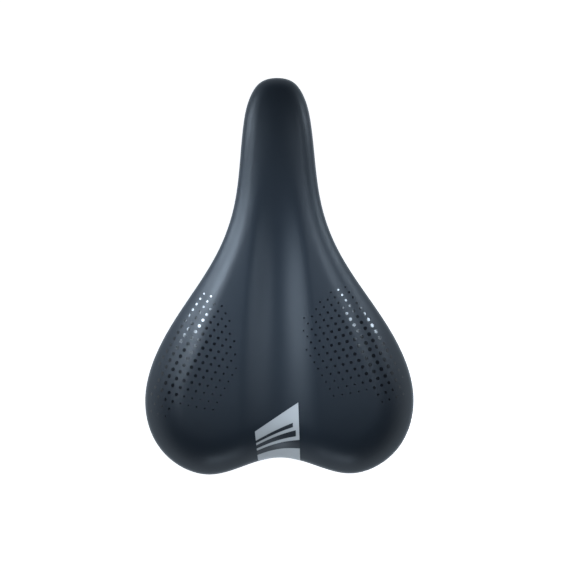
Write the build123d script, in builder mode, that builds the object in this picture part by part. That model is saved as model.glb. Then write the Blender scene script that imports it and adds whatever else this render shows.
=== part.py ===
from build123d import *

import os

import numpy as np

# A padded bicycle saddle on a sprung undercarriage. Millimetres.
# +X points at the nose, +Y at the rider's left and +Z up. The origin is the middle of the
# seatpost clamp zone, half way between the two rails, in the plane of the rails' axes.
# The seat (shell, foam, gel, cover) turns about the nose loop of the rail frame and rests at
# the back on two elastomer springs that stand on a bridge between the rail ends.

# ---- driving dimensions -------------------------------------------------------------------
LENGTH = 262.0
WIDTH = 178.0
NOSE_X = 134.0
TAIL_X = NOSE_X - LENGTH

RAIL_R = 3.5
RAIL_SPACING = 44.0
CLAMP_ZONE = 72.0
RAIL_BEND_R = 30.0

PIVOT_X = 104.0
PIVOT_Z = 22.0
LOOP_HALF = 15.0
LOOP_BEND_R = 7.0

SPRING_X = -92.0
SPRING_Y = 43.5
BRIDGE_TOP = 21.0
BRIDGE_PLATE = 5.0
RAIL_END_Y = 28.0
RAIL_END_Z = 13.0

COVER_T = 1.5
SHELL_T = 2.6
GEL_DEPTH = 6.0
GAP = 0.05
RUNNING_GAP = 0.06

BODY_TALL = 100.0
FIELD_MARGIN = 8.0
FIT_TOLERANCE = 1.0
LEVEL_OUT = 0.2
INSET_GROWS_OVER = 90.0

# Half outline seen from above: (distance back from the nose tip, half width).
OUTLINE = [
    (0, 0),
    (3, 11),
    (11, 17),
    (31, 22.2),
    (59, 25),
    (87, 29.3),
    (111, 37.8),
    (135, 51.8),
    (159, 68.2),
    (183, 81.6),
    (213, WIDTH / 2),
    (239, 82.9),
    (253, 71),
    (LENGTH, 47),
    (256.5, 24),
    (251, 0),
]

# Height laws along the saddle: (x, value).
CREST_Z = [(-128, 68), (-105, 69.5), (-75, 68), (-30, 64), (20, 60.5), (70, 58.5), (110, 55.5), (134, 50)]
CROWN = [(-128, 0.001), (-75, 0.0012), (-20, 0.0013), (21, 0.0028), (61, 0.006), (100, 0.007), (134, 0.007)]
CHANNEL_DEPTH = [(-128, 3.0), (-85, 4.0), (-40, 5.0), (0, 5.0), (32, 3.4), (60, 1.0), (84, 0), (134, 0)]
CHANNEL_HALF = [(-128, 27), (-75, 27), (-20, 23), (30, 18), (84, 13), (134, 13)]
SHELL_Z = [(-128, 47.5), (-105, 48), (-75, 46), (-30, 42), (20, 39), (70, 37), (110, 34), (134, 30)]
SHELL_CROWN = 0.0013
EDGE_RUN = [(-128, 22), (-75, 27), (-46, 26), (-20, 20), (21, 13), (61, 9.5), (134, 9.5)]
EDGE_DROP = [(-128, 14), (-75, 16.5), (-46, 15), (-20, 10), (21, 5), (61, 3.5), (134, 4.5)]


def smooth_curve(stations):
    """A natural cubic curve through the stations (x, value), as a function of x."""
    x, y = np.array(sorted(stations), float).T
    step = np.diff(x)
    last = len(x) - 1
    system, right = np.eye(last + 1), np.zeros(last + 1)
    for i in range(1, last):
        system[i, i - 1 : i + 2] = step[i - 1], 2 * (step[i - 1] + step[i]), step[i]
        right[i] = 6 * ((y[i + 1] - y[i]) / step[i] - (y[i] - y[i - 1]) / step[i - 1])
    bend = np.linalg.solve(system, right)

    def value(at):
        at = np.clip(at, x[0], x[-1])
        i = np.clip(np.searchsorted(x, at) - 1, 0, last - 1)
        behind, ahead = at - x[i], x[i + 1] - at
        curved = (bend[i] * ahead**3 + bend[i + 1] * behind**3) / (6 * step[i])
        from_left = (y[i] / step[i] - bend[i] * step[i] / 6) * ahead
        from_right = (y[i + 1] / step[i] - bend[i + 1] * step[i] / 6) * behind
        return curved + from_left + from_right

    return value


crest_z = smooth_curve(CREST_Z)
crown = smooth_curve(CROWN)
channel_depth = smooth_curve(CHANNEL_DEPTH)
channel_half = smooth_curve(CHANNEL_HALF)
shell_z = smooth_curve(SHELL_Z)
edge_run = smooth_curve(EDGE_RUN)
edge_drop = smooth_curve(EDGE_DROP)


# ---- outline ------------------------------------------------------------------------------
left_outline = [(NOSE_X - back, half) for back, half in OUTLINE]
whole_outline = left_outline + [(x, -y) for x, y in left_outline[-2:0:-1]]
with BuildLine() as outline_line:
    Spline(*whole_outline, periodic=True)
rim = outline_line.edges()[0]


def inset_sketch(inset, nose_inset=None):
    """The outline moved inwards by inset; the move starts at nose_inset at the tip and grows from there."""
    nose_inset = inset if nose_inset is None else nose_inset
    points = []
    for x, y in whole_outline:
        tangent = rim.tangent_at(rim.param_at_point(Vector(x, y)))
        share = min(1.0, (NOSE_X - x) / INSET_GROWS_OVER)
        depth = nose_inset + (inset - nose_inset) * share
        points.append((x - tangent.Y * depth, y + tangent.X * depth))
    with BuildSketch() as sketch:
        with BuildLine():
            Spline(*points, periodic=True)
        make_face()
    return sketch.sketch


# ---- height fields ------------------------------------------------------------------------
RIM_SAMPLES = 1000
rim_points = np.array([tuple(rim @ t)[:2] for t in np.arange(RIM_SAMPLES) / RIM_SAMPLES])
rim_tangents = np.roll(rim_points, -1, 0) - np.roll(rim_points, 1, 0)
rim_normals = np.stack([-rim_tangents[:, 1], rim_tangents[:, 0]], 1)
rim_normals /= np.linalg.norm(rim_normals, axis=1)[:, None]


def rim_distance(x, y):
    """Distance in from the outline, negative outside it."""
    offset = np.stack([x[..., None] - rim_points[:, 0], y[..., None] - rim_points[:, 1]], -1)
    nearest = (offset**2).sum(-1).argmin(-1)
    offset = np.take_along_axis(offset, nearest[..., None, None], -2)[..., 0, :]
    return np.hypot(*np.moveaxis(offset, -1, 0)) * np.sign((offset * rim_normals[nearest]).sum(-1))


def pad_height(x, y):
    """Top of the pad: crowned, with a relief channel, rounded down towards the rim."""
    share = np.clip(1 - rim_distance(x, y) / edge_run(x), 0, None)
    # Past the rim the surface levels out, to keep the fitted face smooth.
    share = np.where(share > 1, 1 + LEVEL_OUT * np.tanh((share - 1) / LEVEL_OUT), share)
    rounding = edge_drop(x) * (0.45 * share**2 + 0.55 * share**4)
    across = np.minimum(abs(y) / channel_half(x), 1)
    channel = channel_depth(x) * (1 - across**2) ** 2
    return crest_z(x) - crown(x) * y * y - channel - rounding


def shell_height(x, y):
    return shell_z(x) - SHELL_CROWN * y * y


def height_face(height, step):
    """A smooth face through height(x, y), reaching past the outline on every side."""
    side = WIDTH / 2 + FIELD_MARGIN
    across = np.linspace(-side, side, 2 * round(side / step) + 1)
    along = np.linspace(TAIL_X - FIELD_MARGIN, NOSE_X + FIELD_MARGIN, round(LENGTH / step) + 1)
    x, y = np.meshgrid(along, across, indexing="ij")
    points = [[Vector(*point) for point in row] for row in np.stack([x, y, height(x, y)], -1)]
    return Face.make_surface_from_array_of_points(points, tol=FIT_TOLERANCE, min_deg=3)


def below(face, drop=0.0):
    """The solid that hangs from a height face lowered by drop, used to cut or to keep."""
    return Solid.extrude(face.translate((0, 0, -drop)), Vector(0, 0, -BODY_TALL))


pad_face = height_face(pad_height, 3.0)
shell_face = height_face(shell_height, 10.0)

# ---- seat: cover, padding and shell -------------------------------------------------------
WRAP_Z_DROP = SHELL_T + COVER_T
HEM_WIDTH = 14.0
HEM_AT_NOSE = 6.5

with BuildPart() as cover:
    extrude(inset_sketch(0), amount=BODY_TALL)
    add(below(pad_face), mode=Mode.INTERSECT)
    add(below(shell_face, WRAP_Z_DROP), mode=Mode.SUBTRACT)
    with BuildPart(mode=Mode.PRIVATE) as hollow:
        extrude(inset_sketch(COVER_T), amount=BODY_TALL)
        add(below(pad_face, COVER_T), mode=Mode.INTERSECT)
        add(below(shell_face, SHELL_T + GAP), mode=Mode.SUBTRACT)
    with BuildPart(mode=Mode.PRIVATE) as underside_window:
        extrude(inset_sketch(HEM_WIDTH, HEM_AT_NOSE), amount=BODY_TALL)
        add(below(shell_face), mode=Mode.INTERSECT)
    add(hollow.part, mode=Mode.SUBTRACT)
    add(underside_window.part, mode=Mode.SUBTRACT)

GEL_X = -80.0
GEL_Y = 47.0
GEL_LENGTH = 76.0
GEL_WIDTH = 46.0
GEL_TURN = -28.0


def gel_region(side, margin):
    """Outline of one gel pad, under the sit bone on that side (+1 left, -1 right)."""
    with BuildSketch() as sketch:
        with Locations(Location((GEL_X, side * GEL_Y, 0), (0, 0, side * GEL_TURN))):
            Ellipse(GEL_LENGTH / 2 + margin, GEL_WIDTH / 2 + margin)
    return sketch.sketch


def gel_block(side, margin, top, depth):
    """A block below the pad's top, from top to top + depth, over one gel region."""
    with BuildPart() as block:
        extrude(gel_region(side, margin), amount=BODY_TALL)
        add(below(pad_face, top), mode=Mode.INTERSECT)
        add(below(pad_face, top + depth), mode=Mode.SUBTRACT)
    return block.part


with BuildPart() as foam_pad:
    extrude(inset_sketch(COVER_T + GAP), amount=BODY_TALL)
    add(below(pad_face, COVER_T + GAP), mode=Mode.INTERSECT)
    add(below(shell_face, -GAP), mode=Mode.SUBTRACT)
    for side in (1, -1):
        add(gel_block(side, 2 * GAP, 0, COVER_T + GEL_DEPTH + 3 * GAP), mode=Mode.SUBTRACT)

# Places on the shell where the undercarriage is fastened.
BOSS_BOTTOM = 38.4
BOSS_R = 13.0
NUT_FLOOR = 1.6
NUT_TALL = 3.6
NUT_ACROSS = 10.0
NUT_HOLE_R = 3.05
SPRING_HOLE_IN_SHELL_R = 3.2
NOSE_BOSS_BOTTOM = 28.0
NOSE_BOSS = (38.0, 18.0)
NOSE_SCREW_PITCH = 24.0
NOSE_NUT_ACROSS = 8.0
NOSE_NUT_TALL = 3.0
NOSE_NUT_HOLE_R = 2.55
NOSE_HOLE_R = 2.7
SLOT_LENGTH = 104.0
SLOT_WIDTH = 17.0
SLOT_X = -10.0
RIB = 2.2
RIB_DEEP = 5.0

with BuildPart() as ribs:
    with BuildSketch():
        for side in (1, -1):
            with BuildLine():
                ribbed = Polyline(
                    (PIVOT_X - 10, side * 8),
                    (PIVOT_X - 34, side * 13),
                    (SLOT_X + 20, side * 16),
                    (SPRING_X, side * SPRING_Y),
                )
            trace(ribbed, line_width=RIB)
        for x, half in ((-108, 58), (SPRING_X + 24, 60), (-38, 42)):
            with Locations((x, 0)):
                Rectangle(RIB, 2 * half)
        for side in (1, -1):
            with Locations(Location((SPRING_X, side * SPRING_Y), side * -35)):
                Rectangle(70, RIB)
        with Locations((SLOT_X, 0)):
            SlotOverall(SLOT_LENGTH + 2 * RIB, SLOT_WIDTH + 2 * RIB)
            SlotOverall(SLOT_LENGTH, SLOT_WIDTH, mode=Mode.SUBTRACT)
    extrude(amount=BODY_TALL)
    add(below(shell_face, SHELL_T / 2), mode=Mode.INTERSECT)
    add(below(shell_face, SHELL_T + RIB_DEEP), mode=Mode.SUBTRACT)
    with BuildPart(mode=Mode.PRIVATE) as inside_hem:
        extrude(inset_sketch(HEM_WIDTH + 1.0, HEM_AT_NOSE + 1.0), amount=BODY_TALL)
    add(inside_hem.part, mode=Mode.INTERSECT)
    # Room for the spring cups and the nose socket.
    for side in (1, -1):
        with Locations((SPRING_X, side * SPRING_Y, BOSS_BOTTOM)):
            Cylinder(BOSS_R + 0.5, 40, align=(Align.CENTER, Align.CENTER, Align.MAX), mode=Mode.SUBTRACT)
    with Locations((PIVOT_X, 0, NOSE_BOSS_BOTTOM + 0.5)):
        Box(NOSE_BOSS[0] + 4, 60, 20, align=(Align.CENTER, Align.CENTER, Align.MAX), mode=Mode.SUBTRACT)

with BuildPart() as bosses:
    with BuildSketch(Plane.XY.offset(BOSS_BOTTOM)):
        with Locations((SPRING_X, SPRING_Y), (SPRING_X, -SPRING_Y)):
            Circle(BOSS_R)
    with BuildSketch(Plane.XY.offset(NOSE_BOSS_BOTTOM)):
        with Locations((PIVOT_X, 0)):
            RectangleRounded(*NOSE_BOSS, 4)
    extrude(amount=BODY_TALL)
    add(below(shell_face, SHELL_T / 2), mode=Mode.INTERSECT)

with BuildPart() as base_shell:
    extrude(inset_sketch(COVER_T + GAP), amount=BODY_TALL)
    add(below(shell_face), mode=Mode.INTERSECT)
    add(below(shell_face, SHELL_T), mode=Mode.SUBTRACT)
    add(bosses.part)
    with BuildSketch(Plane.XY):
        with Locations((SLOT_X, 0)):
            SlotOverall(SLOT_LENGTH, SLOT_WIDTH)
    extrude(amount=BODY_TALL, mode=Mode.SUBTRACT)
    add(ribs.part)
    for x, y, hole_r, across, floor in (
        (SPRING_X, SPRING_Y, SPRING_HOLE_IN_SHELL_R, NUT_ACROSS, BOSS_BOTTOM),
        (SPRING_X, -SPRING_Y, SPRING_HOLE_IN_SHELL_R, NUT_ACROSS, BOSS_BOTTOM),
        (PIVOT_X - NOSE_SCREW_PITCH / 2, 0, NOSE_HOLE_R, NOSE_NUT_ACROSS, NOSE_BOSS_BOTTOM),
        (PIVOT_X + NOSE_SCREW_PITCH / 2, 0, NOSE_HOLE_R, NOSE_NUT_ACROSS, NOSE_BOSS_BOTTOM),
    ):
        with BuildSketch(Plane.XY.offset(floor)):
            with Locations((x, y)):
                Circle(hole_r)
        extrude(amount=20, mode=Mode.SUBTRACT)
        with BuildSketch(Plane.XY.offset(floor + NUT_FLOOR)):
            with Locations((x, y)):
                RegularPolygon(across / 2 + GAP, 6, major_radius=False)
        extrude(amount=20, mode=Mode.SUBTRACT)


def nuts(places, across, tall, hole_r, bottom):
    """Hexagon nuts held in the shell's pockets."""
    with BuildPart() as made:
        with BuildSketch(Plane.XY.offset(bottom)):
            with Locations(*places):
                RegularPolygon(across / 2, 6, major_radius=False)
                Circle(hole_r, mode=Mode.SUBTRACT)
        extrude(amount=tall)
    return made


spring_places = [(SPRING_X, SPRING_Y), (SPRING_X, -SPRING_Y)]
nose_places = [(PIVOT_X - NOSE_SCREW_PITCH / 2, 0), (PIVOT_X + NOSE_SCREW_PITCH / 2, 0)]
spring_nut_z = BOSS_BOTTOM + NUT_FLOOR + GAP
nose_nut_z = NOSE_BOSS_BOTTOM + NUT_FLOOR + GAP
spring_nuts = nuts(spring_places, NUT_ACROSS, NUT_TALL, NUT_HOLE_R, spring_nut_z)
nose_nuts = nuts(nose_places, NOSE_NUT_ACROSS, NOSE_NUT_TALL, NOSE_NUT_HOLE_R, nose_nut_z)

# ---- staples that hold the cover's hem to the shell -----------------------------------------
STAPLE_COUNT = 38
STAPLE_CROWN = 10.0
STAPLE_WIRE = 0.7
STAPLE_LEG = 2.6
STAPLE_INSET = 8.0
STAPLE_INSET_AT_NOSE = 4.0

staple_line = inset_sketch(STAPLE_INSET, STAPLE_INSET_AT_NOSE).edges()[0]
staple_places = []
for i in range(STAPLE_COUNT):
    spot = staple_line @ ((i + 0.5) / STAPLE_COUNT)
    along = staple_line % ((i + 0.5) / STAPLE_COUNT)
    hem_z = float(shell_height(spot.X, spot.Y)) - WRAP_Z_DROP
    staple_places.append(Location((spot.X, spot.Y, hem_z), (0, 0, np.degrees(np.arctan2(along.Y, along.X)))))

with BuildPart() as staple:
    with BuildSketch(Plane.XZ):
        with Locations((0, STAPLE_LEG / 2)):
            Rectangle(STAPLE_CROWN, STAPLE_LEG + STAPLE_WIRE)
        with Locations((0, STAPLE_LEG / 2 + STAPLE_WIRE)):
            Rectangle(STAPLE_CROWN - 2 * STAPLE_WIRE, STAPLE_LEG + STAPLE_WIRE, mode=Mode.SUBTRACT)
    extrude(amount=STAPLE_WIRE / 2, both=True)
with BuildPart() as cover_staples:
    with Locations(*staple_places):
        add(staple.part)

# ---- undercarriage: rail frame --------------------------------------------------------------
RAIL_Y = RAIL_SPACING / 2
REAR_KINK = (-66.0, RAIL_END_Y, RAIL_END_Z)
RAIL_END_X = -99.0
NOSE_KINK = (80.0, LOOP_HALF, 19.0)
NOSE_KINK_R = 36.0


def bend_point(kink, direction):
    """Where a rail leaves the clamp zone's line, so that the bend's arc starts at the zone's end."""
    x = direction * CLAMP_ZONE / 2
    for _ in range(20):
        leg = Vector(*kink) - Vector(x, RAIL_Y, 0)
        turn = leg.get_angle(Vector(direction, 0, 0))
        x = direction * (CLAMP_ZONE / 2 + RAIL_BEND_R * np.tan(np.radians(turn / 2)))
    return (x, RAIL_Y, 0)


left_rail = [
    (RAIL_END_X, RAIL_END_Y, RAIL_END_Z),
    REAR_KINK,
    bend_point(REAR_KINK, -1),
    bend_point(NOSE_KINK, 1),
    NOSE_KINK,
    (PIVOT_X, LOOP_HALF, PIVOT_Z),
]
right_rail = [(x, -y, z) for x, y, z in reversed(left_rail)]
left_bends = [RAIL_BEND_R, RAIL_BEND_R, RAIL_BEND_R, NOSE_KINK_R, LOOP_BEND_R]

with BuildPart() as rail_frame:
    with BuildLine() as rail_path:
        FilletPolyline(*left_rail, *right_rail, radius=left_bends + left_bends[::-1])
    with BuildSketch(Plane(rail_path.line @ 0, z_dir=rail_path.line % 0)):
        Circle(RAIL_R)
    sweep(path=rail_path.line)
    chamfer(rail_frame.faces().filter_by(Axis.X).sort_by(Axis.X)[:2].edges(), 0.6)

# ---- undercarriage: bridge between the rail ends --------------------------------------------
BRIDGE_DEEP = 21.0
BRIDGE_END_R = 16.0
SOCKET_R = 6.5
SOCKET_FRONT = -74.0
SOCKET_BACK = -103.0
BOLT_HOLE_R = 4.6
CUP_R = 12.6
CUP_WALL = 1.2
PIN_X = -86.0
PIN_R = 1.5

with BuildPart() as rear_bridge:
    with BuildSketch(Plane.XY.offset(BRIDGE_TOP)) as plate:
        with Locations((SPRING_X, 0)):
            Rectangle(BRIDGE_DEEP, 2 * SPRING_Y)
        with Locations(*spring_places):
            Circle(BRIDGE_END_R)
        fillet(plate.vertices().filter_by(lambda v: abs(v.Y) < SPRING_Y), BRIDGE_END_R)
    extrude(amount=-BRIDGE_PLATE)
    # Rail sockets under the plate.
    for side in (1, -1):
        with BuildSketch(Plane((SOCKET_BACK, side * RAIL_END_Y, RAIL_END_Z), z_dir=(1, 0, 0))):
            Circle(SOCKET_R)
        extrude(amount=SOCKET_FRONT - SOCKET_BACK)
        with Locations((SPRING_X + 3.5, side * RAIL_END_Y, BRIDGE_TOP - BRIDGE_PLATE)):
            Box(SOCKET_FRONT - SOCKET_BACK - 2, 2 * SOCKET_R - 2, 4)
    # Cross ribs between the sockets.
    for x in (SPRING_X - 6, SPRING_X + 6):
        with Locations((x, 0, BRIDGE_TOP - BRIDGE_PLATE - 2.5)):
            Box(2.4, 2 * RAIL_END_Y, 5)
    # Raised rings round the spring seats.
    with BuildSketch(Plane.XY.offset(BRIDGE_TOP)):
        with Locations(*spring_places):
            Circle(CUP_R + CUP_WALL)
            Circle(CUP_R + GAP, mode=Mode.SUBTRACT)
    extrude(amount=1.6)
    with BuildSketch(Plane.XY.offset(BRIDGE_TOP)):
        with Locations(*spring_places):
            Circle(BOLT_HOLE_R)
    extrude(amount=-20, mode=Mode.SUBTRACT)
    for side in (1, -1):
        with BuildSketch(Plane((RAIL_END_X, side * RAIL_END_Y, RAIL_END_Z), z_dir=(1, 0, 0))):
            Circle(RAIL_R + GAP)
        extrude(amount=60, mode=Mode.SUBTRACT)
        with BuildSketch(Plane((PIN_X, side * RAIL_END_Y, 0))):
            Circle(PIN_R)
        extrude(amount=BRIDGE_TOP + 1, mode=Mode.SUBTRACT)

with BuildPart() as rail_pins:
    with BuildSketch(Plane.XY.offset(RAIL_END_Z - SOCKET_R)):
        with Locations((PIN_X, RAIL_END_Y), (PIN_X, -RAIL_END_Y)):
            Circle(PIN_R)
    extrude(amount=BRIDGE_TOP - RAIL_END_Z + SOCKET_R)
with BuildPart() as drilled_rails:
    add(rail_frame.part)
    add(rail_pins.part, mode=Mode.SUBTRACT)

# ---- elastomer springs and their cups -------------------------------------------------------
CUP_PLATE = 1.2
CUP_RIM = 3.2
SPRING_R = 11.2
SPRING_WAIST = 1.4
SPRING_HOLE_R = 5.0
SPRING_BOTTOM = BRIDGE_TOP + CUP_PLATE
SPRING_TOP = BOSS_BOTTOM - CUP_PLATE


def cup(side, floor, up):
    """A pressed steel cup that keeps one end of an elastomer in place."""
    with BuildPart() as made:
        with BuildSketch(Plane((SPRING_X, side * SPRING_Y, floor), z_dir=(0, 0, up))):
            Circle(CUP_R)
            Circle(BOLT_HOLE_R, mode=Mode.SUBTRACT)
        extrude(amount=CUP_RIM)
        with BuildSketch(Plane((SPRING_X, side * SPRING_Y, floor + up * CUP_PLATE), z_dir=(0, 0, up))):
            Circle(CUP_R - CUP_PLATE)
        extrude(amount=CUP_RIM, mode=Mode.SUBTRACT)
        base = made.faces().sort_by(Axis((0, 0, 0), (0, 0, up)))[0]
        fillet(base.edges().sort_by(SortBy.RADIUS)[-1], 0.8)
    return made


def elastomer(side):
    """A rubbery spring: three bulges, with a hole for the guide bolt."""
    tall = SPRING_TOP - SPRING_BOTTOM
    with BuildPart() as made:
        foot = (SPRING_X, side * SPRING_Y, SPRING_BOTTOM)
        with BuildSketch(Plane(foot, x_dir=(1, 0, 0), z_dir=(0, -1, 0))):
            with BuildLine():
                bulges = Spline(
                    (SPRING_R - 0.6, 0),
                    (SPRING_R - 0.2, tall / 6),
                    (SPRING_R - SPRING_WAIST, tall / 3),
                    (SPRING_R, tall / 2),
                    (SPRING_R - SPRING_WAIST, 2 * tall / 3),
                    (SPRING_R - 0.2, 5 * tall / 6),
                    (SPRING_R - 0.6, tall),
                )
                Polyline(bulges @ 1, (SPRING_HOLE_R, tall), (SPRING_HOLE_R, 0), bulges @ 0)
            make_face()
        revolve(axis=Axis((SPRING_X, side * SPRING_Y, 0), (0, 0, 1)))
    return made


REBOUND_T = 3.0
REBOUND_R = 8.4
WASHER_T = 1.2
WASHER_R = 8.4
BOLT_R = 3.0
BOLT_HEAD_R = 5.4
BOLT_HEAD_TALL = 4.0
BOLT_KEY = 4.0
BOLT_TOP = BOSS_BOTTOM + 5.6
REBOUND_TOP = BRIDGE_TOP - BRIDGE_PLATE
HEAD_TOP = REBOUND_TOP - REBOUND_T - WASHER_T


def ring(side, top, tall, outer, inner):
    with BuildPart() as made:
        with BuildSketch(Plane.XY.offset(top - tall)):
            with Locations((SPRING_X, side * SPRING_Y)):
                Circle(outer)
                Circle(inner, mode=Mode.SUBTRACT)
        extrude(amount=tall)
    return made


def cap_screw(x, y, head_top, head_r, head_tall, shank_r, shank_top, key):
    """A button head screw that points up, with a hexagon socket in its head."""
    with BuildPart() as made:
        with BuildSketch(Plane.XY.offset(head_top - head_tall)):
            with Locations((x, y)):
                Circle(head_r)
        extrude(amount=head_tall)
        fillet(made.faces().sort_by(Axis.Z)[0].edges(), head_tall * 0.45)
        with BuildSketch(Plane.XY.offset(head_top)):
            with Locations((x, y)):
                Circle(shank_r)
        extrude(amount=shank_top - head_top)
        chamfer(made.faces().sort_by(Axis.Z)[-1].edges(), shank_r * 0.15)
        with BuildSketch(Plane.XY.offset(head_top - head_tall)):
            with Locations((x, y)):
                RegularPolygon(key / 2, 6, major_radius=False)
        extrude(amount=head_tall * 0.6, mode=Mode.SUBTRACT)
    return made


# ---- nose pivot: socket block and keeper round the rail loop ---------------------------------
SOCKET_BLOCK = (36.0, 14.0)
KEEPER_TALL = 6.0
COUNTERBORE_R = 4.9
COUNTERBORE_DEEP = 2.2
NOSE_HEAD_R = 4.6
NOSE_HEAD_TALL = 2.7
NOSE_SCREW_R = 2.5
NOSE_KEY = 3.0
NOSE_HEAD_TOP = PIVOT_Z - KEEPER_TALL + COUNTERBORE_DEEP
NOSE_SCREW_TOP = NOSE_BOSS_BOTTOM + NUT_FLOOR + 3.0

with BuildPart() as nose_socket:
    with BuildSketch(Plane.XY.offset(PIVOT_Z)):
        with Locations((PIVOT_X, 0)):
            RectangleRounded(*SOCKET_BLOCK, 3)
            with Locations(*[(x - PIVOT_X, y) for x, y in nose_places]):
                Circle(NOSE_HOLE_R, mode=Mode.SUBTRACT)
    extrude(amount=NOSE_BOSS_BOTTOM - PIVOT_Z)
    with BuildSketch(Plane((PIVOT_X, -20, PIVOT_Z), z_dir=(0, 1, 0))):
        Circle(RAIL_R + RUNNING_GAP)
    extrude(amount=40, mode=Mode.SUBTRACT)

with BuildPart() as nose_keeper:
    with BuildSketch(Plane.XY.offset(PIVOT_Z)):
        with Locations((PIVOT_X, 0)):
            RectangleRounded(*SOCKET_BLOCK, 3)
    extrude(amount=-KEEPER_TALL)
    fillet(nose_keeper.faces().sort_by(Axis.Z)[0].edges(), 1.6)
    with BuildSketch(Plane.XY.offset(PIVOT_Z - KEEPER_TALL)):
        with Locations(*nose_places):
            Circle(COUNTERBORE_R)
    extrude(amount=COUNTERBORE_DEEP, mode=Mode.SUBTRACT)
    with BuildSketch(Plane.XY.offset(PIVOT_Z - KEEPER_TALL)):
        with Locations(*nose_places):
            Circle(NOSE_HOLE_R)
    extrude(amount=KEEPER_TALL, mode=Mode.SUBTRACT)
    with BuildSketch(Plane((PIVOT_X, -20, PIVOT_Z), z_dir=(0, 1, 0))):
        Circle(RAIL_R + RUNNING_GAP)
    extrude(amount=40, mode=Mode.SUBTRACT)

with BuildPart() as nose_screws:
    for x, y in nose_places:
        head = (NOSE_HEAD_TOP, NOSE_HEAD_R, NOSE_HEAD_TALL)
        screw = cap_screw(x, y, *head, NOSE_SCREW_R, NOSE_SCREW_TOP, NOSE_KEY)
        add(screw.part)

# ---- write the pieces ------------------------------------------------------------------------
pieces = {
    "cover": cover,
    "foam_pad": foam_pad,
    "base_shell": base_shell,
    "spring_nuts": spring_nuts,
    "nose_nuts": nose_nuts,
    "cover_staples": cover_staples,
    "rail_frame": drilled_rails,
    "rear_bridge": rear_bridge,
    "rail_pins": rail_pins,
    "nose_socket": nose_socket,
    "nose_keeper": nose_keeper,
    "nose_screws": nose_screws,
}
for name, side in (("left", 1), ("right", -1)):
    pieces[f"lower_cup_{name}"] = cup(side, BRIDGE_TOP, 1)
    pieces[f"upper_cup_{name}"] = cup(side, BOSS_BOTTOM, -1)
    pieces[f"elastomer_{name}"] = elastomer(side)
    pieces[f"rebound_pad_{name}"] = ring(side, REBOUND_TOP, REBOUND_T, REBOUND_R, BOLT_R + 0.3)
    pieces[f"bolt_washer_{name}"] = ring(side, REBOUND_TOP - REBOUND_T, WASHER_T, WASHER_R, BOLT_R + 0.2)
    pieces[f"spring_bolt_{name}"] = cap_screw(
        SPRING_X, side * SPRING_Y, HEAD_TOP, BOLT_HEAD_R, BOLT_HEAD_TALL, BOLT_R, BOLT_TOP, BOLT_KEY
    )
    with BuildPart() as gel_pad:
        add(gel_block(side, 0, COVER_T + GAP, GEL_DEPTH))
    pieces[f"gel_pad_{name}"] = gel_pad

os.makedirs("parts", exist_ok=True)
for name, made in pieces.items():
    made.part.label = name
    export_step(made.part, f"parts/{name}.step")
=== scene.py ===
import math

import bmesh
import bpy
import numpy as np
from mathutils import Matrix, Vector
from mathutils.geometry import delaunay_2d_cdt


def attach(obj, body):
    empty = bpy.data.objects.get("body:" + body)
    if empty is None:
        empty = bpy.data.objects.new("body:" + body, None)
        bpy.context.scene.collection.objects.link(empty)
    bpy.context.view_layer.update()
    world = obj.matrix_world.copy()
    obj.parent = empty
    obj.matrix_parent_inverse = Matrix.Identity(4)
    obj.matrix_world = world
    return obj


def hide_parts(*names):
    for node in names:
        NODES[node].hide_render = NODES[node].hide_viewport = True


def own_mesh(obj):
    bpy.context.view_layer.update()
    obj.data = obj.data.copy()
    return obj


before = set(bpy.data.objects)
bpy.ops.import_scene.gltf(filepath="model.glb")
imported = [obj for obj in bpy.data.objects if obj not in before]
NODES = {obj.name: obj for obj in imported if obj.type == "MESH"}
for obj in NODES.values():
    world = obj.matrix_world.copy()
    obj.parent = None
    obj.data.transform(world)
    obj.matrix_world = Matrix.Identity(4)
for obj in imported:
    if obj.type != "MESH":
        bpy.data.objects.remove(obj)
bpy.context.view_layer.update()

MM = 0.001
MICRON = 1e-6
SEAT = "seat"
UNDERCARRIAGE = "undercarriage"
SIDES = (("left", 1), ("right", -1))

# ---------------------------------------------------------------- saddle laws, in millimetres
# +X nose, +Y rider's left, +Z up, as in the CAD. The outline's points are (back from the nose, half
# width). Every law after it is a list of (x, value).
NOSE_X = 134.0
SHELL_T = 2.6
COVER_T = 1.5
HEM_DROP = SHELL_T + COVER_T

OUTLINE = [
    (0, 0),
    (3, 11),
    (11, 17),
    (31, 22.2),
    (59, 25),
    (87, 29.3),
    (111, 37.8),
    (135, 51.8),
    (159, 68.2),
    (183, 81.6),
    (213, 89),
    (239, 82.9),
    (253, 71),
    (262, 47),
    (256.5, 24),
    (251, 0),
]
CREST_Z = [
    (-128, 68), (-105, 69.5), (-75, 68), (-30, 64),
    (20, 60.5), (70, 58.5), (110, 55.5), (134, 50),
]
CROWN = [
    (-128, 0.001), (-75, 0.0012), (-20, 0.0013), (21, 0.0028),
    (61, 0.006), (100, 0.007), (134, 0.007),
]
CHANNEL_DEPTH = [
    (-128, 3.0), (-85, 4.0), (-40, 5.0), (0, 5.0),
    (32, 3.4), (60, 1.0), (84, 0), (134, 0),
]
CHANNEL_HALF = [(-128, 27), (-75, 27), (-20, 23), (30, 18), (84, 13), (134, 13)]
SHELL_Z = [
    (-128, 47.5), (-105, 48), (-75, 46), (-30, 42),
    (20, 39), (70, 37), (110, 34), (134, 30),
]
SHELL_CROWN = 0.0013
EDGE_RUN = [(-128, 22), (-75, 27), (-46, 26), (-20, 20), (21, 13), (61, 9.5), (134, 9.5)]
EDGE_DROP = [(-128, 14), (-75, 16.5), (-46, 15), (-20, 10), (21, 5), (61, 3.5), (134, 4.5)]
# Share of the edge's rounding that goes with the square of the way out. The rest is a fourth power.
ROUND_SQUARE = 0.75
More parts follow.
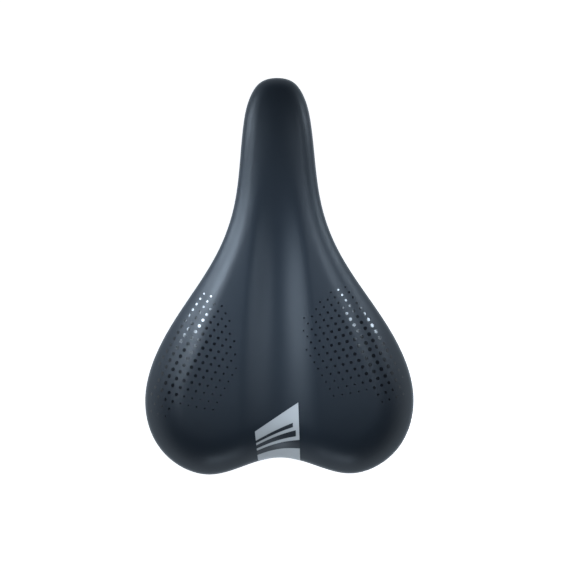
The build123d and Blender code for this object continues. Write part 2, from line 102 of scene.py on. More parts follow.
# The rim's corner is rolled over by this much, over this far in, with this power.
EDGE_ROLL_DROP, EDGE_ROLL, EDGE_ROLL_POWER = 1.8, 1.8, 2.5


def natural_curve(x, y):
    """Second derivatives of a natural cubic spline through (x, y)."""
    step = np.diff(x)
    last = len(x) - 1
    system, right = np.eye(last + 1), np.zeros(last + 1)
    for i in range(1, last):
        system[i, i - 1 : i + 2] = step[i - 1], 2 * (step[i - 1] + step[i]), step[i]
        right[i] = 6 * ((y[i + 1] - y[i]) / step[i] - (y[i] - y[i - 1]) / step[i - 1])
    return np.linalg.solve(system, right)


def spline_at(at, x, y, bend):
    """Value at each place of the cubic spline with those second derivatives."""
    i = np.clip(np.searchsorted(x, at, side="right") - 1, 0, len(x) - 2)
    step = x[i + 1] - x[i]
    behind, ahead = at - x[i], x[i + 1] - at
    curved = (bend[i] * ahead**3 + bend[i + 1] * behind**3) / (6 * step)
    from_left = (y[i] / step - bend[i] * step / 6) * ahead
    from_right = (y[i + 1] / step - bend[i + 1] * step / 6) * behind
    return curved + from_left + from_right


def law(stations):
    """A smooth law through (x, value) pairs, level outside them."""
    x, y = np.array(sorted(stations), float).T
    bend = natural_curve(x, y)
    return lambda at: spline_at(np.clip(at, x[0], x[-1]), x, y, bend)


crest_z, crown = law(CREST_Z), law(CROWN)
channel_depth, channel_half = law(CHANNEL_DEPTH), law(CHANNEL_HALF)
shell_z, edge_run, edge_drop = law(SHELL_Z), law(EDGE_RUN), law(EDGE_DROP)

# ---------------------------------------------------------------- outline
RIM_SAMPLES = 720
FINE_SAMPLES = 8001
# Wrapped round this many points at both ends, a natural spline is periodic to well under a micron.
WRAP = 8
# Points whose distance to the rim is worked out together.
BATCH = 4000


def closed_outline(samples):
    """Evenly spaced points on the closed spline through the outline's points, anticlockwise from
    the nose, and its length."""
    left = [(NOSE_X - back, half) for back, half in OUTLINE]
    ring = np.array(left + [(x, -y) for x, y in left[-2:0:-1]], float)
    points = np.concatenate([ring[-WRAP:], ring, ring[: WRAP + 1]])
    chord = np.concatenate([[0], np.cumsum(np.hypot(*np.diff(points, axis=0).T))])
    bends = [natural_curve(chord, points[:, k]) for k in range(2)]
    fine = np.linspace(chord[WRAP], chord[WRAP + len(ring)], FINE_SAMPLES)
    path = np.stack([spline_at(fine, chord, points[:, k], bends[k]) for k in range(2)], 1)
    run = np.concatenate([[0], np.cumsum(np.hypot(*np.diff(path, axis=0).T))])
    even = np.arange(samples) * run[-1] / samples
    return np.stack([np.interp(even, run, path[:, k]) for k in range(2)], 1), run[-1]


rim, rim_length = closed_outline(RIM_SAMPLES)
rim_tangent = np.roll(rim, -1, 0) - np.roll(rim, 1, 0)
rim_tangent /= np.linalg.norm(rim_tangent, axis=1)[:, None]
rim_inward = np.stack([-rim_tangent[:, 1], rim_tangent[:, 0]], 1)
rim_turn = np.roll(rim_tangent, -1, 0) - np.roll(rim_tangent, 1, 0)
# Curvature, positive where the outline is convex.
rim_bend = (rim_turn * rim_inward).sum(1) / (2 * rim_length / RIM_SAMPLES)


def rim_distance(xy):
    """Distance in from the outline, negative outside it."""
    out = np.empty(len(xy))
    for start in range(0, len(xy), BATCH):
        part = xy[start : start + BATCH]
        offset = part[:, None, :] - rim[None]
        nearest = (offset**2).sum(-1).argmin(-1)
        picked = offset[np.arange(len(part)), nearest]
        inside = np.sign((picked * rim_inward[nearest]).sum(-1))
        out[start : start + BATCH] = np.linalg.norm(picked, axis=1) * inside
    return out


def pad_height(xy, depth=None):
    """Top of the pad at each point. depth is the distance in from the rim, where it is known."""
    x, y = xy[:, 0], xy[:, 1]
    depth = rim_distance(xy) if depth is None else depth
    share = np.clip(1 - depth / edge_run(x), 0, 1)
    rounding = edge_drop(x) * (ROUND_SQUARE * share**2 + (1 - ROUND_SQUARE) * share**4)
    across = np.minimum(abs(y) / channel_half(x), 1)
    channel = channel_depth(x) * (1 - across**2) ** 2
    return crest_z(x) - crown(x) * y * y - channel - rounding


def shell_height(xy):
    """Top of the base shell at each point."""
    return shell_z(xy[:, 0]) - SHELL_CROWN * xy[:, 1] ** 2


def hem_height(xy):
    """Underside of the hem at each point."""
    return shell_height(xy) - HEM_DROP


def cover_height(xy, depth=None):
    """Top of the cover: the pad's law with the rim's corner rolled over."""
    depth = rim_distance(xy) if depth is None else depth
    roll = np.clip(1 - depth / EDGE_ROLL, 0, 1)
    return pad_height(xy, depth) - EDGE_ROLL_DROP * roll**EDGE_ROLL_POWER


# ---------------------------------------------------------------- mesh helpers
CDT_EPSILON = 1e-5


def mesh_object(name, vertices, faces, body, closed=True):
    """A smooth mesh piece from vertices in millimetres, riding on a body. A closed one is turned
    outwards."""
    mesh = bpy.data.meshes.new(name)
    corners = [tuple(v) for v in np.asarray(vertices) * MM]
    mesh.from_pydata(corners, [], [tuple(map(int, f)) for f in faces])
    mesh.validate()
    if closed:
        turned = bmesh.new()
        turned.from_mesh(mesh)
        bmesh.ops.recalc_face_normals(turned, faces=turned.faces)
        turned.to_mesh(mesh)
        turned.free()
    for polygon in mesh.polygons:
        polygon.use_smooth = True
    piece = bpy.data.objects.new(name, mesh)
    bpy.context.scene.collection.objects.link(piece)
    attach(piece, body)
    return piece


def ring_faces(count, first, second):
    """Quads between two rings of count vertices that start at the indices first and second."""
    i = np.arange(count)
    j = (i + 1) % count
    return np.stack([first + i, second + i, second + j, first + j], 1).tolist()


def filled(border, inner):
    """Points and triangles that fill a closed border through the points inside it, and for each
    point the ones that it came from."""
    count = len(border)
    flat = [Vector(p) for p in np.concatenate([border, inner])]
    loop = [(i, (i + 1) % count) for i in range(count)]
    points, _, triangles, sources, _, _ = delaunay_2d_cdt(flat, loop, [], 1, CDT_EPSILON)
    return np.array([tuple(p) for p in points]), triangles, sources


# ---------------------------------------------------------------- cover
# Distances in from the rim of the rings on the top.
TOP_RINGS = (9.0, 7.6, 6.3, 5.1, 4.2, 3.4, 2.7, 2.1, 1.5, 1.0, 0.6, 0.3, 0.1)
# Inside them a hexagonal grid fills the top, this share of a step clear of the innermost ring.
GRID_STEP = 2.2
GRID_CLEAR = 0.7
# Shares of the way down the side wall, which is a little fuller half way down.
WALL_SHARES = (0.12, 0.3, 0.5, 0.7, 0.86)
WALL_BULGE = 0.35
# (distance in from the rim, height over the hem) round the bottom corner.
UNDER_ROLL = ((0.35, 0.7), (1.1, 0.15), (2.2, 0.0))
# (share of the hem's width, height over the hem, share of the pleats).
HEM_RINGS = ((0.3, 0, 0.6), (0.5, 0, 0.8), (0.7, 0, 0.95), (0.9, 0, 1), (1, 0.25, 1))
HEM_WIDTH = 14.0
HEM_AT_NOSE = 6.5
HEM_GROWS_OVER = 90.0
HEM_OVER_SHELL = 0.02
# The hem's cut edge wanders by a slow wave and a quicker ripple: (size, run).
HEM_WAVE = (0.5, 7.3)
HEM_RIPPLE = (0.35, 3.1)
# Pleats start at this curvature of the rim and are full after this much more.
PLEAT_BEND, PLEAT_BEND_SPAN = 0.012, 0.03
PLEAT_DEPTH = 0.55
PLEAT_PITCH = 4.6
# Their pitch wanders: (angle, run).
PLEAT_WANDER = (1.3, 9.0)


def inner_points():
    """A hexagonal grid of points further in than the rings."""
    low, high = rim.min(0), rim.max(0)
    rows = []
    for k, y in enumerate(np.arange(low[1], high[1], GRID_STEP * math.sqrt(3) / 2)):
        x = np.arange(low[0], high[0], GRID_STEP) + (k % 2) * GRID_STEP / 2
        rows.append(np.stack([x, np.full_like(x, y)], 1))
    grid = np.concatenate(rows)
    return grid[rim_distance(grid) > TOP_RINGS[0] + GRID_CLEAR * GRID_STEP]


def wall_bulge(share):
    """How far the side wall stands out at a share of the way down."""
    return WALL_BULGE * math.sin(math.pi * share)


def build_cover():
    """The stretched cover: its top, side wall, rolled edge and the hem under the shell."""
    rings = []
    for depth in TOP_RINGS:
        xy = rim + rim_inward * depth
        rings.append(np.column_stack([xy, cover_height(xy, np.full(len(xy), depth))]))
    top = cover_height(rim, np.zeros(len(rim)))
    wall = top - hem_height(rim)
    for share in WALL_SHARES:
        xy = rim - rim_inward * wall_bulge(share)
        rings.append(np.column_stack([xy, top - wall * share]))
    for depth, lift in UNDER_ROLL:
        xy = rim + rim_inward * depth
        rings.append(np.column_stack([xy, hem_height(xy) + lift]))

    # The hem, gathered in small pleats round the tight bends.
    arc = np.arange(RIM_SAMPLES) * rim_length / RIM_SAMPLES
    gather = np.clip((rim_bend - PLEAT_BEND) / PLEAT_BEND_SPAN, 0, 1)
    wander = PLEAT_WANDER[0] * np.sin(arc / PLEAT_WANDER[1])
    pleat = gather * (np.sin(arc * 2 * math.pi / PLEAT_PITCH + wander) * 0.5 + 0.5)
    cut_edge = HEM_WAVE[0] * np.sin(arc / HEM_WAVE[1])
    cut_edge += HEM_RIPPLE[0] * np.sin(arc / HEM_RIPPLE[1] + 1)
    behind = np.clip((NOSE_X - rim[:, 0]) / HEM_GROWS_OVER, 0, 1)
    hem_depth = HEM_AT_NOSE + (HEM_WIDTH - HEM_AT_NOSE) * behind
    for share, lift, fold in HEM_RINGS:
        xy = rim + rim_inward * (hem_depth * share + cut_edge * share)[:, None]
        z = hem_height(xy) + lift - PLEAT_DEPTH * fold * pleat
        rings.append(np.column_stack([xy, z]))
    xy = rim + rim_inward * (hem_depth + cut_edge)[:, None]
    rings.append(np.column_stack([xy, shell_height(xy) - SHELL_T - HEM_OVER_SHELL]))
    faces = []
    for k in range(len(rings) - 1):
        faces += ring_faces(RIM_SAMPLES, k * RIM_SAMPLES, (k + 1) * RIM_SAMPLES)
    vertices = np.concatenate(rings)

    # Everything inside the innermost ring, whose vertices come first.
    points, triangles, sources = filled(vertices[:RIM_SAMPLES, :2], inner_points())
    place, extra = {}, []
    for k, source in enumerate(sources):
        lowest = min(source) if len(source) else -1
        if 0 <= lowest < RIM_SAMPLES:
            place[k] = lowest
        else:
            place[k] = len(vertices) + len(extra)
            extra.append(k)
    extra = points[extra]
    vertices = np.concatenate([vertices, np.column_stack([extra, pad_height(extra)])])
    return vertices, faces + [tuple(place[k] for k in t) for t in triangles]


cover = mesh_object("cover_skin", *build_cover(), SEAT)
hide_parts("cover")

# ---------------------------------------------------------------- printed dots
# A lobe's lattice: columns step towards the middle and back, rows run outwards and back. The small
# terms squeeze the columns and stretch the rows a little as they go.
DOT_COLUMNS = 10
COLUMN_IN, COLUMN_BACK, COLUMN_SQUEEZE = 4.55, 1.8, 0.06
ROW_OUT, ROW_BACK, ROW_STRETCH = 2.5, 3.33, 0.043
# These columns run on for some rows more than the others.
LONG_COLUMNS = (1, 2, 3, 4)
LONG_ROWS = 2
DOT_R, DOT_R_LEAST = 1.38, 0.55
# Beyond this column each is smaller by this much.
FULL_COLUMN, COLUMN_FADE = 2, 0.11
# (size at the end, growth per row) at the front and the back of a column.
FRONT_FADE = (0.46, 0.07)
BACK_FADE = (0.42, 0.13)
RIM_CLEAR = 4.0
DOT_SIDES = 16
DOT_RINGS = (0.4, 0.75, 1.0)
PRINT_LIFT = 0.05
SLOPE_STEP = 0.4
# Each side: place of the first dot, share of c*c and c in the row where column c starts, rows, and
# how near the middle the dots come.
LEFT_DOTS = (1, (-8.6, 48.9), (0.11, 0.1), 17, 26.0)
RIGHT_DOTS = (-1, (-5.0, 43.9), (0.07, 0.0), 16, 16.0)


def surface_frame(xy):
    """Two unit tangents of the pad's top at each point, seen from above."""
    x_step, y_step = [SLOPE_STEP, 0], [0, SLOPE_STEP]
    slope_x = (pad_height(xy + x_step) - pad_height(xy - x_step)) / (2 * SLOPE_STEP)
    slope_y = (pad_height(xy + y_step) - pad_height(xy - y_step)) / (2 * SLOPE_STEP)
    normal = np.column_stack([-slope_x, -slope_y, np.ones(len(xy))])
    normal /= np.linalg.norm(normal, axis=1)[:, None]
    along = np.column_stack([np.ones(len(xy)), np.zeros(len(xy)), slope_x])
    along /= np.linalg.norm(along, axis=1)[:, None]
    return along[:, :2], np.cross(normal, along)[:, :2]


def dot_lattice(side, start, first_row, rows, inner_limit):
    """Places and radii of one lobe's dots."""
    places, radii = [], []
    for column in range(DOT_COLUMNS):
        squeeze = COLUMN_SQUEEZE * column**2
        starts = round(first_row[0] * column**2 + first_row[1] * column)
        last_row = rows + (LONG_ROWS if column in LONG_COLUMNS else 0)
        for row in range(starts, last_row):
            across = start[1] - COLUMN_IN * column - squeeze + ROW_OUT * row
            back = COLUMN_BACK * column - squeeze + ROW_BACK * row + ROW_STRETCH * row**2
            radius = DOT_R - COLUMN_FADE * max(column - FULL_COLUMN, 0)
            radius *= min(1, FRONT_FADE[0] + FRONT_FADE[1] * row)
            radius *= min(1, BACK_FADE[0] + BACK_FADE[1] * (last_row - row))
            if across > inner_limit:
                places.append((start[0] - back, side * across))
                radii.append(max(radius, DOT_R_LEAST))
    places, radii = np.array(places), np.array(radii)
    keep = rim_distance(places) > RIM_CLEAR
    return places[keep], radii[keep]


def build_dots(places, radii):
    """Flat glossy discs of ink that lie on the cover. Rings are shares of a disc's radius."""
    along, aside = surface_frame(places)
    turn = (np.arange(DOT_SIDES) * 2 * math.pi / DOT_SIDES)[None, :, None]
    reach = np.cos(turn) * along[:, None] + np.sin(turn) * aside[:, None]
    reach *= radii[:, None, None]
    rings = [places[:, None]] + [places[:, None] + share * reach for share in DOT_RINGS]
    flat = np.concatenate(rings, axis=1).reshape(-1, 2)
    vertices = np.column_stack([flat, pad_height(flat) + PRINT_LIFT])
    faces = []
    for base in range(0, len(vertices), 1 + len(DOT_RINGS) * DOT_SIDES):
        first = base + 1
        faces += [(base, first + i, first + (i + 1) % DOT_SIDES) for i in range(DOT_SIDES)]
        for k in range(len(DOT_RINGS) - 1):
            ring = first + k * DOT_SIDES
            faces += ring_faces(DOT_SIDES, ring, ring + DOT_SIDES)
    return vertices, faces


dots = []
for name, lattice in (("left", LEFT_DOTS), ("right", RIGHT_DOTS)):
    dot_mesh = build_dots(*dot_lattice(*lattice))
    piece = mesh_object(f"printed_dots_{name}", *dot_mesh, SEAT, closed=False)
    dots.append(piece)

# ---------------------------------------------------------------- printed panel at the tail
# Its left and right top corners, and the sides of its end at the rim's notch.
PANEL_TOP = ((-98.8, 16.0), (-80.1, -12.4))
PANEL_BOTTOM_Y = (14.2, -13.4)
PANEL_GRID = 40
PANEL_LIFT = 0.14
BAR_LIFT = 0.2
# The print stops this far short of the rim on the top, and turns under it by these amounts.
PRINT_SHORT = 0.2
PRINT_UNDER = ((0.35, 0.7), (1.1, 0.15))
PRINT_END = 2.4
# The bars' shares of the way to the rim, and of the panel's width.
BARS = ((0.30, 0.38, 0.0, 0.86), (0.45, 0.56, 0.0, 0.92), (0.63, 0.78, 0.0, 1.0))
NOTCH_HALF, NOTCH_FROM_X = 40, -110

notch = rim[(abs(rim[:, 1]) < NOTCH_HALF) & (rim[:, 0] < NOTCH_FROM_X)]
notch = notch[np.argsort(notch[:, 1])]


def strip_down_wall(end, lift):
    """Rows of print that go on from the rim down the back of the pad and under it."""
    high = cover_height(end, np.zeros(len(end)))
    low = hem_height(end)
    rows = []
    for share in WALL_SHARES:
        back = end[:, 0] - wall_bulge(share) - lift
        rows.append(np.column_stack([back, end[:, 1], high - (high - low) * share]))
    (corner_in, corner_up), (roll_in, roll_up) = PRINT_UNDER
    x = end[:, 0] + corner_in - lift
    rows.append(np.column_stack([x, end[:, 1], low + corner_up - lift]))
    rows.append(np.column_stack([end[:, 0] + roll_in, end[:, 1], low + roll_up - lift]))
    last = end + [PRINT_END, 0]
    rows.append(np.column_stack([last, hem_height(last) - lift]))
    return rows


def panel_strip(first, last, left, right, lift, down_wall):
    """A strip of print between the shares first and last of the way to the rim, over the shares
    left to right of the panel's width. down_wall takes it on down the back of the pad."""
    rows = max(2, round((last - first) * PANEL_GRID) + 1)
    columns = max(2, round((right - left) * PANEL_GRID) + 1)
    u = np.linspace(left, right, columns)
    top_left, top_right = np.array(PANEL_TOP)
    top = top_left * (1 - u[:, None]) + top_right * u[:, None]
    end_y = PANEL_BOTTOM_Y[0] * (1 - u) + PANEL_BOTTOM_Y[1] * u
    end = np.column_stack([np.interp(end_y, notch[:, 1], notch[:, 0]), end_y])
    grid = []
    for v in np.linspace(first, last, rows):
        xy = top * (1 - v) + end * v
        xy[:, 0] = np.maximum(xy[:, 0], end[:, 0] + PRINT_SHORT)
        grid.append(np.column_stack([xy, cover_height(xy) + lift]))
    if down_wall:
        grid += strip_down_wall(end, lift)
    corners = [r * columns + c for r in range(len(grid) - 1) for c in range(columns - 1)]
    faces = [(a, a + columns, a + columns + 1, a + 1) for a in corners]
    return np.concatenate(grid), faces


panel_mesh = panel_strip(0, 1, 0, 1, PANEL_LIFT, True)
panel = mesh_object("printed_panel", *panel_mesh, SEAT, closed=False)
bars = []
for k, shares in enumerate(BARS):
    bar_mesh = panel_strip(*shares, BAR_LIFT, False)
    bar = mesh_object(f"printed_bar_{k + 1}", *bar_mesh, SEAT, closed=False)
    bars.append(bar)

# ---------------------------------------------------------------- foam and gel
# How far the foam keeps in from the cover's outside, and over the shell.
FOAM_INSET = COVER_T + 0.4
FOAM_OVER_SHELL = 0.06
FOAM_STEP = 4.0
FOAM_CLEAR = 0.6
RIM_SKIP = 4
GEL_X, GEL_Y = -80.0, 47.0
GEL_LONG, GEL_WIDE = 38.0, 23.0
GEL_TURN = -28.0
GEL_TOP, GEL_BOTTOM = COVER_T + 0.5, COVER_T + 5.9
GEL_SOFT = 2.6
GEL_FIRST_RING = 0.04
GEL_RINGS, GEL_SIDES = 10, 64


def foam_block():
    """A closed block between the cover and the shell."""
    border = (rim + rim_inward * FOAM_INSET)[::RIM_SKIP]
    count = len(border)
    low, high = border.min(0), border.max(0)
    x = np.arange(low[0], high[0], FOAM_STEP)
    y = np.arange(low[1], high[1], FOAM_STEP)
    grid = np.column_stack([axis.ravel() for axis in np.meshgrid(x, y)])
    grid = grid[rim_distance(grid) > FOAM_INSET + FOAM_CLEAR * FOAM_STEP]
    xy, triangles, _ = filled(border, grid)
    upper = np.column_stack([xy, pad_height(xy) - FOAM_INSET])
    lower = np.column_stack([xy, shell_height(xy) + FOAM_OVER_SHELL])
    n = len(xy)
    faces = [tuple(t) for t in triangles] + [tuple(i + n for i in reversed(t)) for t in triangles]
    faces += [(i, i + n, (i + 1) % count + n, (i + 1) % count) for i in range(count)]
    return np.concatenate([upper, lower]), faces


foam = mesh_object("foam_core", *foam_block(), SEAT)
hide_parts("foam_pad")


def gel_lens(name, side):
    """A soft-edged gel pad under the foam's top."""
    turn = math.radians(side * GEL_TURN)
    ahead = np.array([math.cos(turn), math.sin(turn)])
    aside = np.array([-math.sin(turn), math.cos(turn)])
    t = (np.arange(GEL_SIDES) * 2 * math.pi / GEL_SIDES)[:, None]
    upper, lower = [], []
    for share in np.linspace(GEL_FIRST_RING, 1.0, GEL_RINGS):
        x, y = GEL_LONG * share * np.cos(t), GEL_WIDE * share * np.sin(t)
        xy = np.array([GEL_X, side * GEL_Y]) + x * ahead + y * aside
        soft = GEL_SOFT * (1 - math.sqrt(max(0.0, 1 - share**4)))
        height = pad_height(xy)
        upper.append(np.column_stack([xy, height - GEL_TOP - soft]))
        lower.append(np.column_stack([xy, height - GEL_BOTTOM + soft]))
    # Rings run from the top's edge to its middle, then from the underside's middle to its edge.
    last = (GEL_RINGS - 1) * GEL_SIDES
    faces = []
    for start in [k * GEL_SIDES for k in range(2 * GEL_RINGS - 1) if k != GEL_RINGS - 1]:
        faces += ring_faces(GEL_SIDES, start, start + GEL_SIDES)
    faces += ring_faces(GEL_SIDES, 0, (2 * GEL_RINGS - 1) * GEL_SIDES)
    faces.append(tuple(range(last, last + GEL_SIDES)))
    faces.append(tuple(reversed(range(last + GEL_SIDES, last + 2 * GEL_SIDES))))
    return mesh_object(name, np.concatenate(upper[::-1] + lower), faces, SEAT)


gels = []
for name, side in SIDES:
    gel = gel_lens(f"gel_lens_{name}", side)
    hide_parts(f"gel_pad_{name}")
    gels.append(gel)

# ---------------------------------------------------------------- elastomer springs
SPRING_X, SPRING_Y = -92.0, 43.5
SPRING_BOTTOM, SPRING_TOP = 22.2, 37.2
SPRING_R, SPRING_HOLE_R = 11.2, 5.0
SPRING_STATIONS = 61
SPRING_SIDES = 96
# The ribs: how far their crests keep inside the radius, their depth, and how many there are.
RIB_INSIDE, RIB_DEPTH, RIBS = 0.8, 0.75, 3
# Both ends are rounded by this much, over one part in this many of the height.
END_ROUND, END_PARTS = 0.5, 14
# A thin parting line half way up: how far it stands out, and how thin it is.
PARTING, PARTING_THIN = 0.12, 90
HOLE_CHAMFER = 0.4


def spring_profile():
    """(radius, height) points round the section of an elastomer: the hole, then the ribbed outside
    from the top down."""
    outside = []
    for share in np.linspace(0, 1, SPRING_STATIONS):
        rib = math.cos(share * RIBS * 2 * math.pi) * 0.5 + 0.5
        foot, head = max(0, 1 - share * END_PARTS), max(0, 1 - (1 - share) * END_PARTS)
        radius = SPRING_R - RIB_INSIDE - RIB_DEPTH * rib - END_ROUND * (foot**2 + head**2)
        radius += PARTING * math.exp(-(((share - 0.5) * PARTING_THIN) ** 2))
        outside.append((radius, SPRING_BOTTOM + share * (SPRING_TOP - SPRING_BOTTOM)))
    hole = [
        (SPRING_HOLE_R + HOLE_CHAMFER, SPRING_BOTTOM),
        (SPRING_HOLE_R, SPRING_BOTTOM + HOLE_CHAMFER),
        (SPRING_HOLE_R, SPRING_TOP - HOLE_CHAMFER),
        (SPRING_HOLE_R + HOLE_CHAMFER, SPRING_TOP),
    ]
    return hole + outside[::-1]


def lathe(name, profile, centre, body):
    """A closed ring turned from (radius, height) points, about a vertical axis through centre."""
    t = np.arange(SPRING_SIDES) * 2 * math.pi / SPRING_SIDES
    rings, faces = [], []
    for k, (r, z) in enumerate(profile):
        x, y = centre[0] + r * np.cos(t), centre[1] + r * np.sin(t)
        rings.append(np.column_stack([x, y, np.full(SPRING_SIDES, z)]))
        after = (k + 1) % len(profile)
        faces += ring_faces(SPRING_SIDES, k * SPRING_SIDES, after * SPRING_SIDES)
    return mesh_object(name, np.concatenate(rings), faces, body)


elastomers = []
for name, side in SIDES:
    centre = (SPRING_X, side * SPRING_Y)
    spring = lathe(f"elastomer_{name}_ribbed", spring_profile(), centre, UNDERCARRIAGE)
    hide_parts(f"elastomer_{name}")
    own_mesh(spring)
    elastomers.append(spring)

# ---------------------------------------------------------------- clamp scale on the rails
RAIL_R, RAIL_Y = 3.5, 22.0
MARK_LIFT = 0.03
MARK_HALF_WIDTH = 0.25
MARK_PLACES = range(-30, 31, 5)
MARK_POINTS = 9
# Half the angle, in degrees, that a mark wraps round the rail. Every second one is long.
LONG_EVERY, LONG_MARK, SHORT_MARK = 10, 62, 40


def rail_scale():
    """Thin printed lines across the outer side of both rails."""
    vertices, faces = [], []
    radius = RAIL_R + MARK_LIFT
    for side in (1, -1):
        for x in MARK_PLACES:
            base = len(vertices)
            reach = math.radians(SHORT_MARK if x % LONG_EVERY else LONG_MARK)
            for a in np.linspace(-reach, reach, MARK_POINTS):
                y, z = side * (RAIL_Y + radius * math.cos(a)), radius * math.sin(a)
                vertices += [(x - MARK_HALF_WIDTH, y, z), (x + MARK_HALF_WIDTH, y, z)]
            for a in range(base, base + 2 * (MARK_POINTS - 1), 2):
                quad = (a, a + 2, a + 3, a + 1)
                faces.append(quad if side > 0 else (a, a + 1, a + 3, a + 2))
    return vertices, faces


rail_marks = mesh_object("rail_scale_marks", *rail_scale(), UNDERCARRIAGE, closed=False)


# ---------------------------------------------------------------- materials
def noise(tree, place, scale, detail):
    """A noise texture's value at a place."""
    node = tree.nodes.new("ShaderNodeTexNoise")
    node.inputs["Scale"].default_value = scale
    node.inputs["Detail"].default_value = detail
    tree.links.new(place, node.inputs["Vector"])
    return node.outputs["Fac"]


def cells(tree, place, scale):
    """Distance to the nearest cell border, as in leather grain."""
    node = tree.nodes.new("ShaderNodeTexVoronoi")
    node.feature = "DISTANCE_TO_EDGE"
    node.inputs["Scale"].default_value = scale
    tree.links.new(place, node.inputs["Vector"])
    return node.outputs["Distance"]


def color_mix(tree, first, second, factor):
    """The colour that goes from first to second as the factor goes from 0 to 1."""
    mix = tree.nodes.new("ShaderNodeMix")
    mix.data_type = "RGBA"
    mix.inputs["A"].default_value = (*first, 1)
    mix.inputs["B"].default_value = (*second, 1)
    tree.links.new(factor, mix.inputs["Factor"])
    return mix.outputs["Result"]


# Scale and detail of the slow mottling of every colour.
MOTTLE = (140, 4)


def material(name, color, roughness, variation, metallic=0.0, coat=0.0, specular=0.5):
    """A Principled material whose colour varies slowly by the share variation. Returns it with its
    tree, shader and coordinates."""
    made = bpy.data.materials.new(name)
    made.use_nodes = True
    tree = made.node_tree
    shader = tree.nodes["Principled BSDF"]
    shader.inputs["Roughness"].default_value = roughness
    shader.inputs["Metallic"].default_value = metallic
    shader.inputs["Coat Weight"].default_value = coat
    shader.inputs["Specular IOR Level"].default_value = specular
    place = tree.nodes.new("ShaderNodeTexCoord").outputs["Object"]
    dark = [c * (1 - variation) for c in color]
    light = [min(1, c * (1 + variation)) for c in color]
    mottled = color_mix(tree, dark, light, noise(tree, place, *MOTTLE))
    tree.links.new(mottled, shader.inputs["Base Color"])
    return made, tree, shader, place


def bump(tree, shader, height, microns, strength, below=None):
    """Adds bump from a height, on top of another bump's normal if one is given."""
    node = tree.nodes.new("ShaderNodeBump")
    node.inputs["Distance"].default_value = microns * MICRON
    node.inputs["Strength"].default_value = strength
    tree.links.new(height, node.inputs["Height"])
    if below:
        tree.links.new(below, node.inputs["Normal"])
    tree.links.new(node.outputs["Normal"], shader.inputs["Normal"])
    return node.outputs["Normal"]


def vary_roughness(tree, shader, value, low, high):
    """Roughness that follows a 0 to 1 value between low and high."""
    span = tree.nodes.new("ShaderNodeMapRange")
    span.inputs["To Min"].default_value = low
    span.inputs["To Max"].default_value = high
    tree.links.new(value, span.inputs["Value"])
    tree.links.new(span.outputs["Result"], shader.inputs["Roughness"])


LEATHER_GRAIN = 1700
# The rails' drawing lines are stretched along X.
DRAWN_SCALE = (40, 900, 900)

LEATHER = (0.0132, 0.0175, 0.0235)
leather, tree, shader, place = material("cover_leather", LEATHER, 0.41, 0.05, specular=0.27)
vary_roughness(tree, shader, noise(tree, place, 60, 5), 0.385, 0.435)
grain = bump(tree, shader, cells(tree, place, LEATHER_GRAIN), 60, 0.35)
bump(tree, shader, noise(tree, place, 240, 3), 100, 0.15, grain)
cover.data.materials.append(leather)

GLOSS_INK = (0.003, 0.004, 0.006)
gloss_ink, tree, shader, place = material("dot_ink", GLOSS_INK, 0.15, 0.1, specular=0.5)
bump(tree, shader, noise(tree, place, 900, 2), 20, 0.2)
for piece in dots:
    piece.data.materials.append(gloss_ink)

grey_ink, tree, shader, place = material("panel_ink", (0.46, 0.45, 0.44), 0.42, 0.03)
bump(tree, shader, cells(tree, place, LEATHER_GRAIN), 40, 0.25)
panel.data.materials.append(grey_ink)

dark_ink, tree, shader, place = material("bar_ink", (0.012, 0.014, 0.018), 0.4, 0.05)
bump(tree, shader, cells(tree, place, LEATHER_GRAIN), 40, 0.25)
for bar in bars:
    bar.data.materials.append(dark_ink)

foam_look, tree, shader, place = material("foam", (0.42, 0.39, 0.30), 0.95, 0.15)
pores = bump(tree, shader, cells(tree, place, 900), 600, 0.8)
bump(tree, shader, noise(tree, place, 60, 4), 800, 0.5, pores)
foam.data.materials.append(foam_look)

gel_look, tree, shader, place = material("gel", (0.05, 0.16, 0.26), 0.25, 0.1, coat=0.3)
bump(tree, shader, noise(tree, place, 90, 3), 500, 0.3)
for gel in gels:
    gel.data.materials.append(gel_look)

rubber, tree, shader, place = material("elastomer", (0.022, 0.024, 0.027), 0.62, 0.15)
vary_roughness(tree, shader, noise(tree, place, 200, 4), 0.52, 0.72)
bump(tree, shader, noise(tree, place, 1500, 4), 80, 0.4)
for spring in elastomers:
    spring.data.materials.append(rubber)

SHELL_BLACK = (0.013, 0.013, 0.014)
shell_look, tree, shader, place = material("shell_plastic", SHELL_BLACK, 0.5, 0.1)
vary_roughness(tree, shader, noise(tree, place, 130, 5), 0.42, 0.58)
bump(tree, shader, noise(tree, place, 1900, 3), 80, 0.5)

nylon, tree, shader, place = material("nylon", (0.018, 0.018, 0.02), 0.42, 0.12)
vary_roughness(tree, shader, noise(tree, place, 160, 5), 0.34, 0.5)
bump(tree, shader, noise(tree, place, 1300, 4), 70, 0.45)

RAIL_GREY = (0.50, 0.51, 0.53)
steel, tree, shader, place = material("rail_steel", RAIL_GREY, 0.28, 0.08, metallic=1.0)
stretch = tree.nodes.new("ShaderNodeMapping")
stretch.inputs["Scale"].default_value = DRAWN_SCALE
tree.links.new(place, stretch.inputs["Vector"])
drawn = noise(tree, stretch.outputs["Vector"], 1.0, 3)
vary_roughness(tree, shader, drawn, 0.22, 0.38)
bump(tree, shader, drawn, 30, 0.35)

ZINC_GREY = (0.56, 0.57, 0.59)
zinc, tree, shader, place = material("zinc_steel", ZINC_GREY, 0.34, 0.12, metallic=1.0)
vary_roughness(tree, shader, noise(tree, place, 500, 4), 0.26, 0.44)
bump(tree, shader, noise(tree, place, 1600, 3), 30, 0.3)

